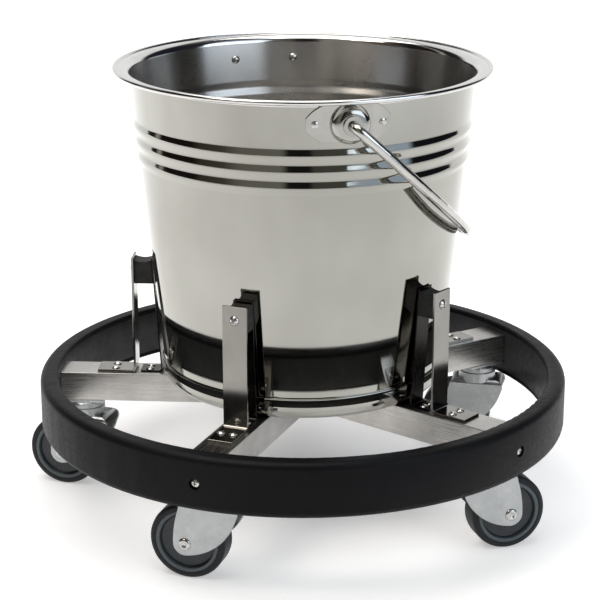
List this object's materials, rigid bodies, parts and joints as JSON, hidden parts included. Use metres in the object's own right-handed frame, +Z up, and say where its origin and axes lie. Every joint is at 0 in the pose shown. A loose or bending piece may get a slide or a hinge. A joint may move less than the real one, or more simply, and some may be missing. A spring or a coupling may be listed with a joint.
{
  "type": "surgical kick bucket",
  "caption": "Stainless bucket with bail, standing loose in a low five-armed frame with spring holders, an all-round rubber bumper and swivel casters, moved with the foot.",
  "frame": {"origin": "on the floor, on the upright axis of the bucket and of the frame", "axes": "+Z up; the ears of the bail lie on the Y axis and one arm of the frame points along +Y; the bail hangs on the +X side"},
  "size_m": [0.4333, 0.4452, 0.3608],
  "materials": {
    "polished_steel": "mirror polished",
    "satin_steel": "satin",
    "rivet_steel": "bright",
    "screw_steel": "bright",
    "hoop_paint": "black, satin",
    "bumper_rubber": "black, matte with a soft sheen",
    "block_rubber": "black, matte",
    "zinc_steel": "zinc plated, semi-bright",
    "axle_steel": "bright",
    "wheel_plastic": "slate grey, satin",
    "tyre_rubber": "black, matte"
  },
  "bodies": {
    "frame": {"arm_1": "satin_steel", "upright_1": "satin_steel", "spring_strip_1": "satin_steel", "rubber_block_1": "block_rubber", "castor_plate_1": "zinc_steel", "arm_2": "satin_steel", "upright_2": "satin_steel", "spring_strip_2": "satin_steel", "rubber_block_2": "block_rubber", "castor_plate_2": "zinc_steel", "arm_3": "satin_steel", "upright_3": "satin_steel", "spring_strip_3": "satin_steel", "rubber_block_3": "block_rubber", "castor_plate_3": "zinc_steel", "arm_4": "satin_steel", "upright_4": "satin_steel", "spring_strip_4": "satin_steel", "rubber_block_4": "block_rubber", "castor_plate_4": "zinc_steel", "arm_5": "satin_steel", "upright_5": "satin_steel", "spring_strip_5": "satin_steel", "rubber_block_5": "block_rubber", "castor_plate_5": "zinc_steel", "hub_plate": "satin_steel", "hub_rivets": "rivet_steel", "foot_rivets": "rivet_steel", "bumper_screws": "screw_steel", "block_screws": "screw_steel", "bumper_hoop": "hoop_paint", "rubber_bumper": "bumper_rubber"},
    "bucket": {"bucket_shell": "polished_steel", "bucket_base_ring": "polished_steel", "ear_front": "polished_steel", "ear_rear": "polished_steel", "ear_rivets": "rivet_steel"},
    "bail": {"bail": "polished_steel"},
    "fork_1": {"castor_fork_1": "zinc_steel", "castor_axle_1": "axle_steel"},
    "wheel_1": {"castor_wheel_1": "wheel_plastic", "castor_tyre_1": "tyre_rubber"},
    "fork_2": {"castor_fork_2": "zinc_steel", "castor_axle_2": "axle_steel"},
    "wheel_2": {"castor_wheel_2": "wheel_plastic", "castor_tyre_2": "tyre_rubber"},
    "fork_3": {"castor_fork_3": "zinc_steel", "castor_axle_3": "axle_steel"},
    "wheel_3": {"castor_wheel_3": "wheel_plastic", "castor_tyre_3": "tyre_rubber"},
    "fork_4": {"castor_fork_4": "zinc_steel", "castor_axle_4": "axle_steel"},
    "wheel_4": {"castor_wheel_4": "wheel_plastic", "castor_tyre_4": "tyre_rubber"},
    "fork_5": {"castor_fork_5": "zinc_steel", "castor_axle_5": "axle_steel"},
    "wheel_5": {"castor_wheel_5": "wheel_plastic", "castor_tyre_5": "tyre_rubber"}
  },
  "joints": [
    {"name": "bucket_lift", "type": "slide", "parent": "frame", "child": "bucket", "axis": [0, 0, 1], "range_m": [0, 0.11]},
    {"name": "bail_hinge", "type": "hinge", "parent": "bucket", "child": "bail", "pos_m": [0, 0, 0.341], "axis": [0, -1, 0], "range_deg": [0, 265.25]},
    {"name": "swivel_1", "type": "hinge", "parent": "frame", "child": "fork_1", "pos_m": [-0.17309, 0.05624, 0.079], "axis": [0, 0, 1], "continuous": true},
    {"name": "wheel_spin_1", "type": "hinge", "parent": "fork_1", "child": "wheel_1", "pos_m": [-0.18852, 0.06551, 0.03], "axis": [-0.515, -0.8572, 0], "continuous": true},
    {"name": "swivel_2", "type": "hinge", "parent": "frame", "child": "fork_2", "pos_m": [-0.10698, -0.14724, 0.079], "axis": [0, 0, 1], "continuous": true},
    {"name": "wheel_spin_2", "type": "hinge", "parent": "fork_2", "child": "wheel_2", "pos_m": [-0.12224, -0.1377, 0.03], "axis": [-0.5299, -0.848, 0], "continuous": true},
    {"name": "swivel_3", "type": "hinge", "parent": "frame", "child": "fork_3", "pos_m": [0.10698, -0.14724, 0.079], "axis": [0, 0, 1], "continuous": true},
    {"name": "wheel_spin_3", "type": "hinge", "parent": "fork_3", "child": "wheel_3", "pos_m": [0.12495, -0.1463, 0.03], "axis": [-0.0523, 0.9986, 0], "continuous": true},
    {"name": "swivel_4", "type": "hinge", "parent": "frame", "child": "fork_4", "pos_m": [0.17309, 0.05624, 0.079], "axis": [0, 0, 1], "continuous": true},
    {"name": "wheel_spin_4", "type": "hinge", "parent": "fork_4", "child": "wheel_4", "pos_m": [0.15691, 0.06413, 0.03], "axis": [-0.4384, -0.8988, 0], "continuous": true},
    {"name": "swivel_5", "type": "hinge", "parent": "frame", "child": "fork_5", "pos_m": [0, 0.182, 0.079], "axis": [0, 0, 1], "continuous": true},
    {"name": "wheel_spin_5", "type": "hinge", "parent": "fork_5", "child": "wheel_5", "pos_m": [-0.00496, 0.1993, 0.03], "axis": [-0.9613, -0.2756, 0], "continuous": true}
  ]
}
